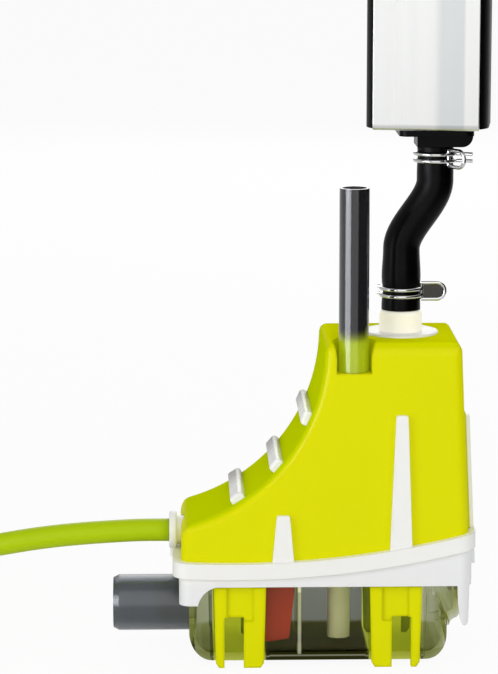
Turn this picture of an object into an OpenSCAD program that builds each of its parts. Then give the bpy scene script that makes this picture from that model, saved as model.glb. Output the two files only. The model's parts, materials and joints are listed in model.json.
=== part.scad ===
// Condensate pump: a boot-shaped level unit over a clear snap-off reservoir, and an
// oscillating piston pump that a rubber hose joins to it. Millimetres, +Z up.
// The object stands on the feet of its four clips, at Z = 0.

/* [Reservoir] */
// Length of the reservoir bowl
tank_len = 72.8; // [66:0.2:76]
// Depth of the reservoir from front to back
tank_depth = 31.6; // [28:0.2:34]
// Wall of the reservoir
tank_wall = 1.8; // [1.4:0.1:2.4]
// Height of the bowl's underside over the resting surface
tank_lift = 1.5; // [1:0.1:2.5]
// Height of the reservoir's rim over the resting surface
rim_z = 24; // [22.5:0.1:25]
// Radius of the bowl's lower corners
bowl_r = 6; // [4:0.5:8]
// Radius of the bowl's upright corners
tank_corner_r = 8; // [4:0.5:9]
// How far the shoulder at the right reaches past the bowl
shoulder_out = 3.6; // [2.5:0.1:4.2]
// Height of the shoulder's underside
shoulder_z = 12.6; // [11:0.1:14]
// Outer diameter of the inlet stub
inlet_d = 15.8; // [14:0.1:17]
// Wall of the inlet stub
inlet_wall = 1.7; // [1.2:0.1:2.2]
// Height of the inlet stub's axis
inlet_z = 14.3; // [13.5:0.1:15]
// How far the inlet stub stands out of the bowl
inlet_out = 21.4; // [16:0.2:26]

/* [Float] */
// Width of the float
float_w = 12.2; // [10:0.1:13]
// Depth of the float from front to back
float_depth = 22; // [16:0.5:24]
// Height of the float
float_h = 15.8; // [12:0.1:16]
// How far the float rises
float_travel = 3.6; // [2:0.1:4]

/* [Clips] */
// Distance from the middle to the outer edge of a clip's foot
clip_reach = 29.2; // [27:0.1:31]
// Width of a clip at its root
clip_w = 14.6; // [13:0.1:16]
// Thickness of a clip
clip_t = 2.2; // [1.8:0.1:2.6]
// How much nearer the middle the right-hand clips stand
clip_shift = 1.1; // [0:0.1:2]
// Height of the notch between a clip's legs
notch_z = 14.4; // [11:0.1:17]
// Width of the notch
notch_w = 5.4; // [4:0.1:6.5]

/* [Chassis] */
// Thickness of the skirt
skirt_t = 1.2; // [1:0.1:1.6]
// How far the belt stands out of the skirt
belt_out = 1; // [0.6:0.1:1.4]
// Height of the belt
belt_h = 4.4; // [3.6:0.1:5.2]
// Height of the skirt's lower edge
skirt_z = 23.6; // [22.5:0.1:23.6]
// Thickness of the deck that closes the reservoir
deck_t = 2; // [1.6:0.1:2.6]
// How far the fins stand out of the housing's faces
fin_out = 1.4; // [0.8:0.1:1.8]

/* [Housing] */
// Wall of the housing
shell_wall = 2; // [1.4:0.1:2.4]
// Height of the housing's top over the resting surface
top_z = 91.8; // [84:0.2:96]
// Distance from the middle to the housing's left face
left_reach = 38.6; // [37:0.1:40]
// Distance from the middle to the housing's right face at the top
right_reach = 38.9; // [37:0.1:40]
// Draft of the right face, in degrees
draft = 2.5; // [1:0.1:3]
// Radius of the concave instep
instep_r = 51.4; // [48:0.2:54]
// Radius of the soft edges
edge_r = 2.4; // [1:0.1:3]
// Radius of the edges between the top and the front and back
top_r = 3.6; // [2.4:0.1:5]

/* [Vent tube] */
// Outer diameter of the vent tube
vent_d = 8.3; // [7.5:0.1:9]
// Wall of the vent tube
vent_wall = 0.75; // [0.6:0.05:1]
// Length of the vent tube
vent_len = 50.9; // [36:0.2:60]
// Depth of the pocket that the vent tube stands in
pocket_depth = 8.4; // [6:0.1:10]

/* [Hose and spigot] */
// Outer diameter of the rubber hose
hose_d = 10.2; // [9.4:0.1:11]
// Bore of the rubber hose
hose_bore = 7.2; // [6.6:0.1:7.6]
// Outer diameter of the top spigot
spigot_d = 11.9; // [11:0.1:13]
// Diameter of the washer under the top spigot
washer_d = 21; // [18:0.5:22]
// Distance of the top spigot from the middle
spigot_x = 23.2; // [22:0.1:25]
// Height of the pump over the housing's top
pump_rise = 58.2; // [52:0.2:64]
// Wire of the hose clips
wire_d = 1.1; // [1:0.1:1.5]
// Outer diameter of the suction tube
suction_d = 6.4; // [5.6:0.1:7]
// Wall of the suction tube
suction_wall = 1.1; // [0.8:0.1:1.4]

/* [Pump] */
// Distance of the pump's axis from the middle
pump_x = 30.5; // [30:0.1:33]
// Turn of the pump about its axis, in degrees
pump_turn = 8; // [0:0.5:12]
// Width of the steel yoke
yoke_w = 28.8; // [26:0.2:30]
// Depth of the yoke from front to back
yoke_depth = 34; // [32:0.2:35]
// Height of the yoke
yoke_h = 46; // [44:0.5:50]
// Thickness of the yoke's steel
yoke_t = 2; // [1.5:0.1:2.5]
// Width of the coil
coil_w = 33.6; // [32:0.2:35]
// Outer diameter of the guide tube
guide_d = 12; // [11.4:0.1:12.6]
// Wall of the guide tube
guide_wall = 0.8; // [0.6:0.05:1]
// Length of the piston
piston_len = 20; // [18:0.5:22]
// Stroke of the piston to each side of rest
piston_stroke = 2; // [1:0.1:2.4]

/* [Cable] */
// Diameter of the cable
cable_d = 6.4; // [6:0.1:6.6]
// Height of the cable's axis at the ring
cable_z = 35.3; // [34.6:0.1:35.8]

/* [Hidden] */
$fn = 64;

// Clearances
body_gap = 0.3;      // between pieces of different bodies
seal_gap = 0.2;      // between the seal and the reservoir's rim
slide_fit = 0.1;     // radial, piston in its tube and rods in their bores
cut = 1;             // how far a cutter runs past the face that it cuts

// Reservoir, clips and skirt stand round each other from the inside outwards
tank_half = tank_depth / 2;
bowl_half = tank_len / 2;
clip_in = tank_half + body_gap;
skirt_in = clip_in + clip_t + 0.5;
skirt_half = skirt_in + skirt_t;
belt_half = skirt_half + belt_out;
deck_z = rim_z + 1.6;
deck_top = deck_z + deck_t;
floor_z = tank_lift + tank_wall;
shoulder_x = bowl_half + shoulder_out;
inlet_x = -bowl_half - inlet_out;
rib_w = 0.9;
rib_out = 0.8;
partition_x = -6.3;
partition_t = 1.4;

// Housing
shell_half = belt_half - 2.4;
belt_low = 30.3;
lean_z = belt_low + 8;
right_foot = right_reach + (top_z - lean_z) * tan(draft);
instep_x = -left_reach - 11.65;
instep_z = top_z - 1.4;
toe_r = 5;
crown_r = 3;
toe_x = -left_reach + toe_r;
toe_z = instep_z - sqrt(pow(instep_r + toe_r, 2) - pow(toe_x - instep_x, 2));
crown_z = top_z - crown_r;
crown_x = instep_x + sqrt(pow(instep_r + crown_r, 2) - pow(crown_z - instep_z, 2));
function toe_touch(c, r) = [
  instep_x + (c[0] - instep_x) * instep_r / (instep_r + r),
  instep_z + (c[1] - instep_z) * instep_r / (instep_r + r)
];

// Belt: two arcs about one centre high above the housing
belt_x = -23.5;
belt_r = 266;
belt_arc_z = belt_low + belt_r;
belt_left = max(left_reach, bowl_half + 2.2) + 2.4;
belt_right = right_foot + 2;
skirt_left = max(left_reach, bowl_half + 2.2) + 0.6;
skirt_right = right_foot + 1;

// Vent tube and its pocket
vent_x = 9.2;
vent_y = -shell_half + vent_d / 2 + 0.4;
pocket_r = vent_d / 2 + 0.65;
pocket_z = top_z - pocket_depth;
vent_bore = vent_d - 2 * vent_wall;

// Pump
pump_z = top_z + pump_rise;
coil_r = 10;
coil_depth = yoke_depth - 2 * yoke_t;
bore_d = guide_d - 2 * guide_wall;
nose_flange_t = 2.2;
nose_flange_r = 10.7;
nose_flange_y = 10.5;
nose_right = nose_flange_r - 0.8;
nose_body_h = 3.4;
nose_neck = 11;
boss_in = 4;
outlet_in = yoke_h - 8;
piston_z = boss_in + (outlet_in - boss_in - piston_len) / 2;
spring_r = 3.9;
spring_wire = 0.7;
ball_r = 2.2;
seat_r = 1.6;
ball_rise = sqrt(ball_r * ball_r - seat_r * seat_r) + 0.15;
piston_seat = piston_z + piston_len - 9;
outlet_seat = outlet_in + 2.5;
ball_lift = 0.8;
nozzle_len = 18;

// Hose: from the top spigot's shoulder up to the pump's nose
hose_x = pump_x + 1.9;
spigot_top = top_z + 6.7;
hose_z0 = spigot_top;
hose_z1 = pump_z - nose_flange_t - nose_body_h;

// Cable
gland_out = left_reach + 3.3;
ring_t = 2.2;
ring_d = 10.8;

// The origin is at the middle of the box of the object without its cable
pump_reach = (coil_w / 2 - coil_r) * (cos(pump_turn) + sin(pump_turn)) + coil_r;
shift_x = (-inlet_x - (pump_x + pump_reach)) / 2;

// The cable's route from the ring to its coil, and from the coil to its end
coil_at = [-134, 50.4];
coil_mid_r = 35;
coil_wide = 2;
coil_high = 4;
tie_t = 0.8;
tie_w = 4.5;
tie_angles = [40, 220];
route = [
  [-45, 0, 35.3], [-52, 0, 35], [-60, 0, 34.5], [-68, 0, 33.8], [-76, 0, 32.8],
  [-84, 0, 31.5], [-89.6, 0.4, 30.5], [-95.1, 1.5, 29.4], [-100.7, 3.2, 28.1],
  [-106.2, 5.1, 26.9], [-111.8, 7.1, 25.8], [-117.3, 9, 24.7], [-122.9, 10.7, 23.9],
  [-128.4, 11.8, 23.4]
];
tail_route = [
  [-101.7, 29.9, 4], [-106, 23.4, 4], [-110.8, 17.3, 4], [-116.8, 11.9, 4], [-124.2, 7.8, 4],
  [-134, 5.8, 4], [-140, 5.8, 3.9], [-146, 5.8, 3.5], [-152, 5.8, 3.2]
];
core_len = 18;
ferrule_len = 7;

lime = [0.80, 0.86, 0.05];
white = [0.95, 0.95, 0.93];
smoke = [0.25, 0.27, 0.27, 0.7];
olive = [0.45, 0.50, 0.25, 0.5];
steel = [0.75, 0.76, 0.78];
black = [0.06, 0.06, 0.06];

// ---- helpers ----

module place() translate([shift_x, 0, 0]) children();

// An outline seen from the front, run from front to back
module along_y(depth) rotate([90, 0, 0]) linear_extrude(depth, center = true) children();

// An outline seen from the right, run from left to right
module along_x(len) rotate([90, 0, 90]) linear_extrude(len, center = true) children();

module both_sides() for (s = [0, 1]) mirror([0, s, 0]) children();

module round_box(x0, x1, half, r) {
  translate([x0 + r, -half]) square([x1 - x0 - 2 * r, 2 * half]);
  translate([x0, -half + r]) square([x1 - x0, 2 * (half - r)]);
  for (x = [x0 + r, x1 - r], y = [-half + r, half - r]) translate([x, y]) circle(r);
}

// What is cut off a corner at the origin to round it, the piece lying up and to the right
module round_off(r) difference() {
  translate([-cut, -cut]) square(r + cut);
  translate([r, r]) circle(r);
}

module ring(d_out, d_in, h) difference() {
  cylinder(d = d_out, h = h);
  translate([0, 0, -cut]) cylinder(d = d_in, h = h + 2 * cut);
}

// A pipe that steps sideways: two bends of angle a joined by a straight stretch
module step_pipe(d, bore, offset, z0, z1, zmid, bend, a) {
  run = (offset - 2 * bend * (1 - cos(a))) / sin(a);
  rise = 2 * bend * sin(a) + run * cos(a);
  zs = zmid - rise / 2;
  translate([0, 0, z0]) pipe(d, bore, 0, zs - z0 + joint);
  translate([0, 0, zs]) turn_up(d, bore, bend, a);
  translate([bend * (1 - cos(a)), 0, zs + bend * sin(a)]) rotate([0, a, 0])
    pipe(d, bore, -joint, run + joint);
  translate([offset, 0, zs + rise]) rotate([0, 180, 0]) turn_up(d, bore, bend, a);
  translate([offset, 0, zs + rise]) pipe(d, bore, -joint, z1 - zs - rise);
}

// How far a straight stretch reaches into a bend's wall, and how much thinner it is
joint = 0.2;
step = 0.02;

module pipe(d, bore, z0, z1) rotate_extrude() translate([bore / 2 + step, z0])
  square([(d - bore) / 2 - 2 * step, z1 - z0]);

// A bend that starts straight up at the origin and leans to the right by a
module turn_up(d, bore, bend, a)
  translate([bend, 0, 0]) rotate([90, 0, 0]) rotate([0, 0, 180 - a])
    rotate_extrude(angle = a) translate([bend, 0]) difference() {
      circle(d = d);
      circle(d = bore);
    }

// A coil spring of round wire about the Z axis
module spring(r, wire, h, turns, per_turn = 10, sides = 6) {
  n = turns * per_turn;
  points = [for (i = [0 : n], j = [0 : sides - 1])
    let (t = 360 * i / per_turn, u = 360 * j / sides, q = r + wire / 2 * cos(u))
    [q * cos(t), q * sin(t), wire / 2 + (h - wire) * i / n + wire / 2 * sin(u)]];
  tube_mesh(points, n + 1, sides);
}

// Rings of points joined into one closed tube
module tube_mesh(points, rings, sides) polyhedron(points,
  concat(
    [[for (j = [0 : sides - 1]) j]],
    [for (i = [0 : rings - 2], j = [0 : sides - 1])
      [i * sides + j, (i + 1) * sides + j,
       (i + 1) * sides + (j + 1) % sides, i * sides + (j + 1) % sides]],
    [[for (j = [sides - 1 : -1 : 0]) (rings - 1) * sides + j]]
  ));

function unit(v) = v / norm(v);

// A round tube of diameter d along a list of points
module sweep(path, d, sides = 12) {
  last = len(path) - 1;
  points = [for (i = [0 : last], j = [0 : sides - 1])
    let (t = unit(path[min(i + 1, last)] - path[max(i - 1, 0)]),
         side = unit(cross(t, [0, 0, 1])), up = cross(side, t), u = -360 * j / sides)
    path[i] + d / 2 * (cos(u) * side + sin(u) * up)];
  tube_mesh(points, last + 1, sides);
}

// ---- reservoir ----

module bowl_outline(inset) {
  half = bowl_half - inset;
  r = bowl_r - inset;
  z = tank_lift + inset;
  translate([-half, z + r]) square([2 * half, rim_z - z - r]);
  translate([-half + r, z]) square([2 * (half - r), r]);
  for (s = [-1, 1]) translate([s * (half - r), z + r]) circle(r);
}

// The shoulder steps out of the bowl through an S of two small arcs
module shoulder_outline(inset) {
  r = 1.6;
  x = shoulder_x - inset;
  z = shoulder_z + inset;
  neck = bowl_half - inset;
  translate([neck - 4, z + r]) square([x - neck + 4, rim_z - z - r]);
  translate([neck - 4, z]) square([x - neck + 4 - r, r]);
  translate([x - r, z + r]) circle(r);
  difference() {
    translate([neck - 1, z - r]) square([r + 1, r + 0.01]);
    translate([neck + r, z - r]) circle(r);
  }
}

module tank_form(inset) {
  intersection() {
    along_y(tank_depth - 2 * inset) bowl_outline(inset);
    linear_extrude(rim_z + cut)
      round_box(-bowl_half + inset, bowl_half - inset, tank_half - inset, tank_corner_r - inset);
  }
  intersection() {
    along_y(tank_depth - 2 * inset) shoulder_outline(inset);
    linear_extrude(rim_z + cut)
      round_box(0, shoulder_x - inset, tank_half - inset, tank_corner_r - inset);
  }
}

// The clips' edges at a height: [outer, inner], the legs drawing in towards the feet
function clip_edges(z) =
  let (k = (rim_z - z) / rim_z * 0.6)
  [clip_reach + 0.4 - k, clip_reach - clip_w + 0.4 + k];

module guide_rib(sx, side) {
  z1 = rim_z - 3.5;
  z0 = tank_lift + 1;
  gap = 0.6;
  low = clip_edges(z0)[side] + (side == 0 ? gap : -gap - rib_w);
  high = clip_edges(z1)[side] + (side == 0 ? gap : -gap - rib_w);
  polygon([[sx * low, z0], [sx * (low + rib_w), z0], [sx * (high + rib_w), z1], [sx * high, z1]]);
}

module reservoir() color(olive) place() difference() {
  union() {
    difference() {
      tank_form(0);
      intersection() {
        tank_form(tank_wall);
        translate([-100, -100, 0]) cube([200, 200, rim_z + cut]);
      }
      translate([-bowl_half - tank_corner_r, -100, rim_z]) cube([200, 200, 10]);
    }
    intersection() {
      union() {
        translate([partition_x, -tank_half, tank_lift]) cube([partition_t, tank_depth, 19]);
        translate([partition_x - float_w - partition_t - 0.9, -tank_half, tank_lift])
          cube([partition_t, tank_depth, 11]);
      }
      tank_form(tank_wall / 2);
    }
    for (sx = [-1, 1], side = [0, 1])
      both_sides() translate([0, -tank_half - rib_out / 2 + 0.1, 0])
        along_y(rib_out + 0.2) translate([sx > 0 ? -clip_shift : 0, 0]) guide_rib(sx, side);
    translate([-bowl_half + 0.2, 0, inlet_z]) rotate([0, 90, 0])
      translate([0, 0, 0]) cylinder(d = inlet_d - 2 * inlet_wall - 2 * slide_fit, h = tank_wall);
    translate([-bowl_half - 9, 0, inlet_z]) rotate([0, 90, 0])
      cylinder(d = inlet_d - 2 * inlet_wall, h = 9.4);
  }
  // the inlet's bore through its spigot and the bowl's wall
  translate([-bowl_half - 10, 0, inlet_z]) rotate([0, 90, 0])
    cylinder(d = inlet_d - 2 * inlet_wall - 3, h = 10 + tank_wall + cut);
  // passages at the foot of the two partitions
  for (x = [partition_x, partition_x - float_w - partition_t - 0.9])
    translate([x - cut, -4, floor_z]) cube([partition_t + 2 * cut, 8, 2.4]);
}

module inlet_stub() color(smoke) place() translate([inlet_x, 0, inlet_z]) rotate([0, 90, 0])
  rotate_extrude() inlet_profile();

// Half section of the inlet stub: bore, wall and a bevelled mouth
module inlet_profile() {
  bevel_len = 1.6;
  bevel = 0.8;
  r = inlet_d / 2;
  polygon([
    [r - inlet_wall, 0], [r - bevel, 0], [r, bevel_len],
    [r, inlet_out], [r - inlet_wall, inlet_out]
  ]);
}

// ---- float ----

float_x = partition_x - 0.45 - float_w / 2;
float_z = floor_z + 2.2;

module float_outline() {
  w = float_w / 2;
  polygon([
    [-w + 1.2, 1], [-1.5, 0], [w - 1.6, 0.9], [w, float_h - 1], [w - 1, float_h],
    [-w + 1, float_h], [-w, float_h - 1]
  ]);
}

module float() color("firebrick") place() translate([float_x, 0, float_z]) difference() {
  intersection() {
    along_y(float_depth) float_outline();
    linear_extrude(float_h + cut) round_box(-float_w / 2 - 1, float_w / 2 + 1, float_depth / 2, 2.5);
  }
  translate([0, 0, float_h - 3]) cylinder(d = 6, h = 3 + cut);
}

module float_magnet() color("dimgray") place()
  translate([float_x, 0, float_z + float_h - 3]) cylinder(d = 6, h = 3);

// ---- clips ----

module clip_outline() {
  top = clip_edges(deck_z - 0.4);
  foot = clip_edges(0);
  edge = 0.9;
  difference() {
    polygon([
      [foot[1] + edge, 0], [foot[1], 1.4], [top[1], deck_z - 0.4],
      [top[0], deck_z - 0.4], [foot[0], 1.4], [foot[0] - edge, 0]
    ]);
    notch_outline();
  }
}

module notch_outline() {
  x0 = clip_reach - 2.6 - notch_w;
  polygon([[x0, -cut], [x0 + notch_w, -cut], [x0 + notch_w, notch_z], [x0, notch_z]]);
}

// One forked clip at the front right, standing on its two feet
module clip() translate([0, -clip_in - clip_t / 2, 0]) difference() {
  along_y(clip_t) clip_outline();
  // the panel between the raised edges lies a little lower
  translate([0, -clip_t / 2 - cut + 0.7, 0]) along_y(2 * cut)
    translate([clip_reach - clip_w + 4, notch_z - cut]) square([clip_w - 7.4, skirt_z]);
  // the root is thinned to clear the skirt as the clip bends out
  translate([0, -clip_t, skirt_z - 0.5]) cube([100, clip_t * 0.7, 10]);
}

module clip_at(sx, sy) color(lime) place() translate([sx > 0 ? 0 : -clip_shift, 0, 0])
  mirror([sx, 0, 0]) mirror([0, sy, 0]) clip();
module clip_front_right() clip_at(0, 0);
module clip_front_left() clip_at(1, 0);
module clip_back_right() clip_at(0, 1);
module clip_back_left() clip_at(1, 1);

// ---- housing ----

module boot(inset = 0) {
  shift = inset / cos(draft);
  difference() {
    polygon([
      [-left_reach + inset, deck_top], [-left_reach + inset, top_z - inset],
      [right_reach - shift + inset * tan(draft), top_z - inset],
      [right_foot - shift, lean_z], [right_foot - shift, deck_top]
    ]);
    translate([instep_x, instep_z]) circle(instep_r + inset, $fn = 128);
    if (inset == 0) boot_corners();
  }
}

// The three soft corners of the boot: toe, crown and shoulder
module boot_corners() {
  toe = toe_touch([toe_x, toe_z], toe_r);
  crown = toe_touch([crown_x, crown_z], crown_r);
  difference() {
    polygon([[-left_reach - cut, toe_z], [toe_x, toe_z], toe, [toe[0], toe[1] + 5],
             [-left_reach - cut, toe[1] + 5]]);
    translate([toe_x, toe_z]) circle(toe_r);
  }
  difference() {
    polygon([[crown[0] - 3, crown[1]], crown, [crown_x, crown_z], [crown_x, top_z + cut],
             [crown[0] - 3, top_z + cut]]);
    translate([crown_x, crown_z]) circle(crown_r);
  }
  corner_x = right_reach + (top_z - crown_z) * tan(draft) - crown_r / cos(draft);
  difference() {
    polygon([[corner_x, top_z + cut], [corner_x, crown_z],
             [corner_x + 2 * crown_r, crown_z + 2 * crown_r * tan(draft)],
             [corner_x + 2 * crown_r, top_z + cut]]);
    translate([corner_x, crown_z]) circle(crown_r);
  }
}

module housing_form() difference() {
  along_y(2 * shell_half) boot();
  both_sides() {
    // edge between the top and the front
    translate([0, -shell_half, top_z]) mirror([0, 0, 1]) along_x(200) round_off(top_r);
    // edge between the instep and the front
    translate([instep_x, 0, instep_z]) rotate([90, 0, 0]) rotate_extrude($fn = 128)
      translate([instep_r, shell_half]) mirror([0, 1]) round_off(edge_r);
    upright_edges();
  }
}

// What rounds the upright edge at the front left and the leaning one at the front right
module upright_edges() {
  translate([-left_reach, -shell_half, 0]) linear_extrude(toe_z + 6) round_off(edge_r);
  translate([right_foot, -shell_half, 0]) linear_extrude(lean_z) mirror([1, 0]) round_off(edge_r);
  translate([right_foot, -shell_half, lean_z]) rotate([0, -draft, 0])
    linear_extrude(top_z - lean_z + 5) mirror([1, 0]) round_off(edge_r);
}

// Half section of the pocket, wider at its mouth
module pocket_profile() {
  flare = 1.1;
  rise = 4;
  polygon([[0, pocket_z], [pocket_r, pocket_z], [pocket_r, top_z - rise],
           [pocket_r + flare * 0.35, top_z - rise * 0.4],
           [pocket_r + flare, top_z + 0.2], [pocket_r + flare, top_z + 5], [0, top_z + 5]]);
}

module pocket() translate([vent_x, vent_y, 0]) {
  rotate_extrude() pocket_profile();
  translate([0, -10, 0]) along_y(20) {
    pocket_profile();
    mirror([1, 0]) pocket_profile();
  }
}

vent_spigot_z = top_z + 1;

module housing() color(lime) place() difference() {
  union() {
    side_pads();
    difference() {
      housing_form();
      difference() {
        along_y(2 * (shell_half - shell_wall)) boot(shell_wall);
        // the wall round the pocket, and the duct that leads down from it
        translate([vent_x, vent_y, pocket_z - shell_wall])
          cylinder(r = pocket_r + shell_wall, h = 100);
        translate([vent_x - pocket_r - shell_wall, -shell_half, pocket_z - shell_wall])
          cube([2 * (pocket_r + shell_wall), shell_half + vent_y, 100]);
        translate([vent_x, vent_y, 0]) cylinder(d = vent_bore - 1, h = 100);
      }
      pocket();
    }
    // the spigot in the pocket that the vent tube is pushed over
    translate([vent_x, vent_y, pocket_z - 0.5])
      cylinder(d = vent_bore - 0.1, h = vent_spigot_z - pocket_z + 0.5);
    translate([vent_x, vent_y, vent_spigot_z])
      cylinder(d1 = vent_bore - 0.1, d2 = vent_bore - 1.8, h = 3.6);
  }
  translate([vent_x, vent_y, 0]) cylinder(d = vent_bore - 3.6, h = 200);
  translate([spigot_x, 0, top_z - 10]) cylinder(d = spigot_neck_d + 2 * slide_fit, h = 20);
  translate([-left_reach, 0, cable_z]) rotate([0, 90, 0])
    translate([0, 0, -5]) cylinder(d = gland_d, h = 10);
}

// ---- chassis ----

module belt_outline() intersection() {
  difference() {
    translate([belt_x, belt_arc_z]) circle(belt_r + belt_h, $fn = 256);
    translate([belt_x, belt_arc_z]) circle(belt_r, $fn = 256);
  }
  translate([-100, 0]) square([200, 60]);
}

skirt_r = 3.4;

module under_belt() difference() {
  translate([-60, skirt_z]) square([120, 40]);
  translate([belt_x, belt_arc_z]) circle(belt_r + belt_h - 0.5, $fn = 256);
}

module skirt_wall() difference() {
  round_box(-skirt_left, skirt_right, skirt_half, skirt_r);
  round_box(-skirt_left + skirt_t, skirt_right - skirt_t, skirt_in, skirt_r - skirt_t);
}

// The corner hooks at the left end, with their hollow edge
module hook_outline() difference() {
  translate([-skirt_left, 18.3]) square([10.2, skirt_z - 18.3 + 0.4]);
  translate([-skirt_left + 11.8, 17.1]) circle(6.7);
}

// The tapered legs at the right end
leg_x = skirt_right - 0.7;

module leg_outline() polygon([
  [leg_x - 3.4, skirt_z + 0.5], [leg_x - 3.2, 18.4], [leg_x - 2.5, 14], [leg_x - 1.9, 12.6],
  [leg_x - 1.3, 12.2], [leg_x - 0.6, 12.4], [leg_x - 0.2, 13.6], [leg_x, skirt_z + 0.5]
]);

// A tapering fin with rounded top corners, seen from the front
module fin_outline(x, w0, w1, z1) {
  r = 0.7;
  polygon([[x - w0 / 2, belt_low - 2], [x + w0 / 2, belt_low - 2], [x + w1 / 2, z1 - r],
           [x + w1 / 2 - r, z1], [x - w1 / 2 + r, z1], [x - w1 / 2, z1 - r]]);
  for (s = [-1, 1]) translate([x + s * (w1 / 2 - r), z1 - r]) circle(r);
}

// Fins on the front and back: [place, width at the foot, width at the top, height]
fins = [[-10.3, 6.4, 3.7, 43.8], [22.4, 6.6, 3.3, 71.9]];
side_fin_z = 70.1;
side_fin_y = 9.6;
side_fin_out = 1.1;
side_pad = 0.8;

module fins() {
  both_sides() for (f = fins)
    translate([0, -shell_half - fin_out / 2, 0]) along_y(fin_out) fin_outline(f[0], f[1], f[2], f[3]);
  both_sides() right_face() translate([side_pad + side_fin_out / 2, 0, 0])
    along_x(side_fin_out) fin_outline(-side_fin_y, 6.4, 3.6, side_fin_z);
}

// Things on the housing's right face lean with it
module right_face() translate([right_foot, 0, lean_z]) rotate([0, -draft, 0])
  translate([0, 0, -lean_z]) children();

// Flat pads under the fins of the right face, above the belt
module side_pads() both_sides() right_face() intersection() {
  translate([side_pad / 2 - 0.25, 0, 0]) along_x(side_pad + 0.5)
    fin_outline(-side_fin_y, 8, 5.2, side_fin_z + 0.8);
  translate([-5, -100, lean_z + 0.1]) cube([20, 200, 60]);
}

module cable_ring() translate([-gland_out, 0, 0]) difference() {
  union() {
    translate([0, 0, cable_z]) rotate([0, 90, 0]) rotate_extrude() ring_profile();
    translate([0.3, -2.6, belt_low - 2]) cube([ring_t - 0.6, 5.2, cable_z - belt_low]);
  }
  translate([-cut, 0, cable_z]) rotate([0, 90, 0]) cylinder(d = gland_d, h = ring_t + 2 * cut);
}

gland_d = cable_d + 1.6;

// Half section of the cable ring, its outer edges rounded
module ring_profile() {
  r = 0.8;
  difference() {
    square([ring_d / 2, ring_t]);
    translate([ring_d / 2, 0]) mirror([1, 0]) round_off(r);
    translate([ring_d / 2, ring_t]) mirror([1, 0]) mirror([0, 1]) round_off(r);
  }
}

module chassis() color(white) place() difference() {
  union() {
    difference() {
      union() {
        intersection() {
          along_y(2 * belt_half) belt_outline();
          linear_extrude(top_z) round_box(-belt_left, belt_right, belt_half, skirt_r + belt_out);
        }
        intersection() {
          along_y(2 * belt_half) under_belt();
          linear_extrude(60) skirt_wall();
        }
      }
      translate([0, 0, deck_top - 8]) linear_extrude(30)
        round_box(-left_reach, right_foot, shell_half, edge_r);
    }
    difference() {
      intersection() {
        linear_extrude(deck_top) skirt_wall();
        union() {
          along_y(2 * belt_half) hook_outline();
          both_sides() translate([0, -shell_half, 0]) along_y(6) leg_outline();
        }
      }
      translate([-60, -inlet_d / 2 - 1.2, 0]) cube([40, inlet_d + 2.4, skirt_z]);
    }
    translate([0, 0, deck_z]) linear_extrude(deck_t)
      round_box(-skirt_left + skirt_t / 2, skirt_right - skirt_t / 2, skirt_half - skirt_t / 2,
                skirt_r - skirt_t / 2);
    fins();
    cable_ring();
    for (p = post_points) translate([p[0], p[1], deck_top]) cylinder(d = 4.4, h = board_z - deck_top);
  }
  translate([suction_x, 0, 0]) cylinder(d = suction_d + 2 * slide_fit, h = 60);
  translate([vent_x, vent_y, 0]) cylinder(d = vent_bore - 3.6, h = 60);
  for (p = post_points) translate([p[0], p[1], deck_top]) cylinder(d = screw_d, h = 20);
}

// Bars across the instep, each a short piece of a ring about the instep's own axis
grip_angles = [-57.3, -41.1, -23.2];
grip_w = 4;
grip_out = 2.2;

grip_soft = 1.1;

module grip_ribs() color(white) place() translate([instep_x, 0, instep_z]) rotate([90, 0, 0])
  intersection() {
    for (a = grip_angles) rotate([0, 0, a]) grip_rib();
    cylinder(r = instep_r, h = 2 * shell_half, center = true, $fn = 128);
  }

module grip_rib() {
  half = shell_half - edge_r - 0.4;
  inner = instep_r - grip_out;
  difference() {
    translate([inner, -grip_w / 2, -half]) cube([grip_out + 0.5, grip_w, 2 * half]);
    for (s = [0, 1]) {
      mirror([0, s, 0]) translate([inner, -grip_w / 2, -half - cut])
        linear_extrude(2 * half + 2 * cut) round_off(grip_soft);
      mirror([0, 0, s]) translate([inner, grip_w / 2 + cut, -half]) rotate([90, 0, 0])
        linear_extrude(grip_w + 2 * cut) round_off(grip_soft);
    }
  }
}

module cable_gland() color(white) place() translate([-gland_out, 0, cable_z]) rotate([0, 90, 0])
  ring(gland_d, cable_d, gland_out - left_reach + shell_wall + 0.6);

module reservoir_seal() color(black) place() translate([0, 0, rim_z + seal_gap])
  linear_extrude(deck_z - rim_z - seal_gap) difference() {
    round_box(-bowl_half, shoulder_x, tank_half, tank_corner_r);
    round_box(-bowl_half + tank_wall, shoulder_x - tank_wall, tank_half - tank_wall,
              tank_corner_r - tank_wall);
  }

// ---- electronics on the deck ----

board_z = deck_top + 2.4;
board_t = 1.6;
board_x = -33;
board_len = 34;
board_wide = 24;
screw_d = 1.8;
screw_len = 4;
head_d = 4;
head_h = 1.4;
post_points = [
  [board_x + 3, 3 - board_wide / 2], [board_x + 3, board_wide / 2 - 3],
  [board_x + board_len - 3, 0]
];

module circuit_board() color("darkgreen") place() difference() {
  translate([board_x, -board_wide / 2, board_z]) cube([board_len, board_wide, board_t]);
  for (p = post_points) translate([p[0], p[1], 0]) cylinder(d = screw_d + 0.4, h = top_z);
}

module board_screws() color(steel) place() for (p = post_points)
  translate([p[0], p[1], board_z + board_t]) {
    cylinder(d = head_d, h = head_h);
    translate([0, 0, -screw_len]) cylinder(d = screw_d, h = screw_len + 0.1);
  }

module hall_sensors() color(black) place() for (y = [-5, 0, 5])
  translate([float_x - 2, y - 1.5, board_z - 1.5]) cube([4, 3, 1.5]);

module relay() color("royalblue") place()
  translate([-16, -8, board_z + board_t]) cube([10, 14, 9]);

module capacitor() color("darkorange") place()
  translate([-2.4, 6.4, board_z + board_t]) cylinder(d = 6, h = 10);

// ---- suction side ----

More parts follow.
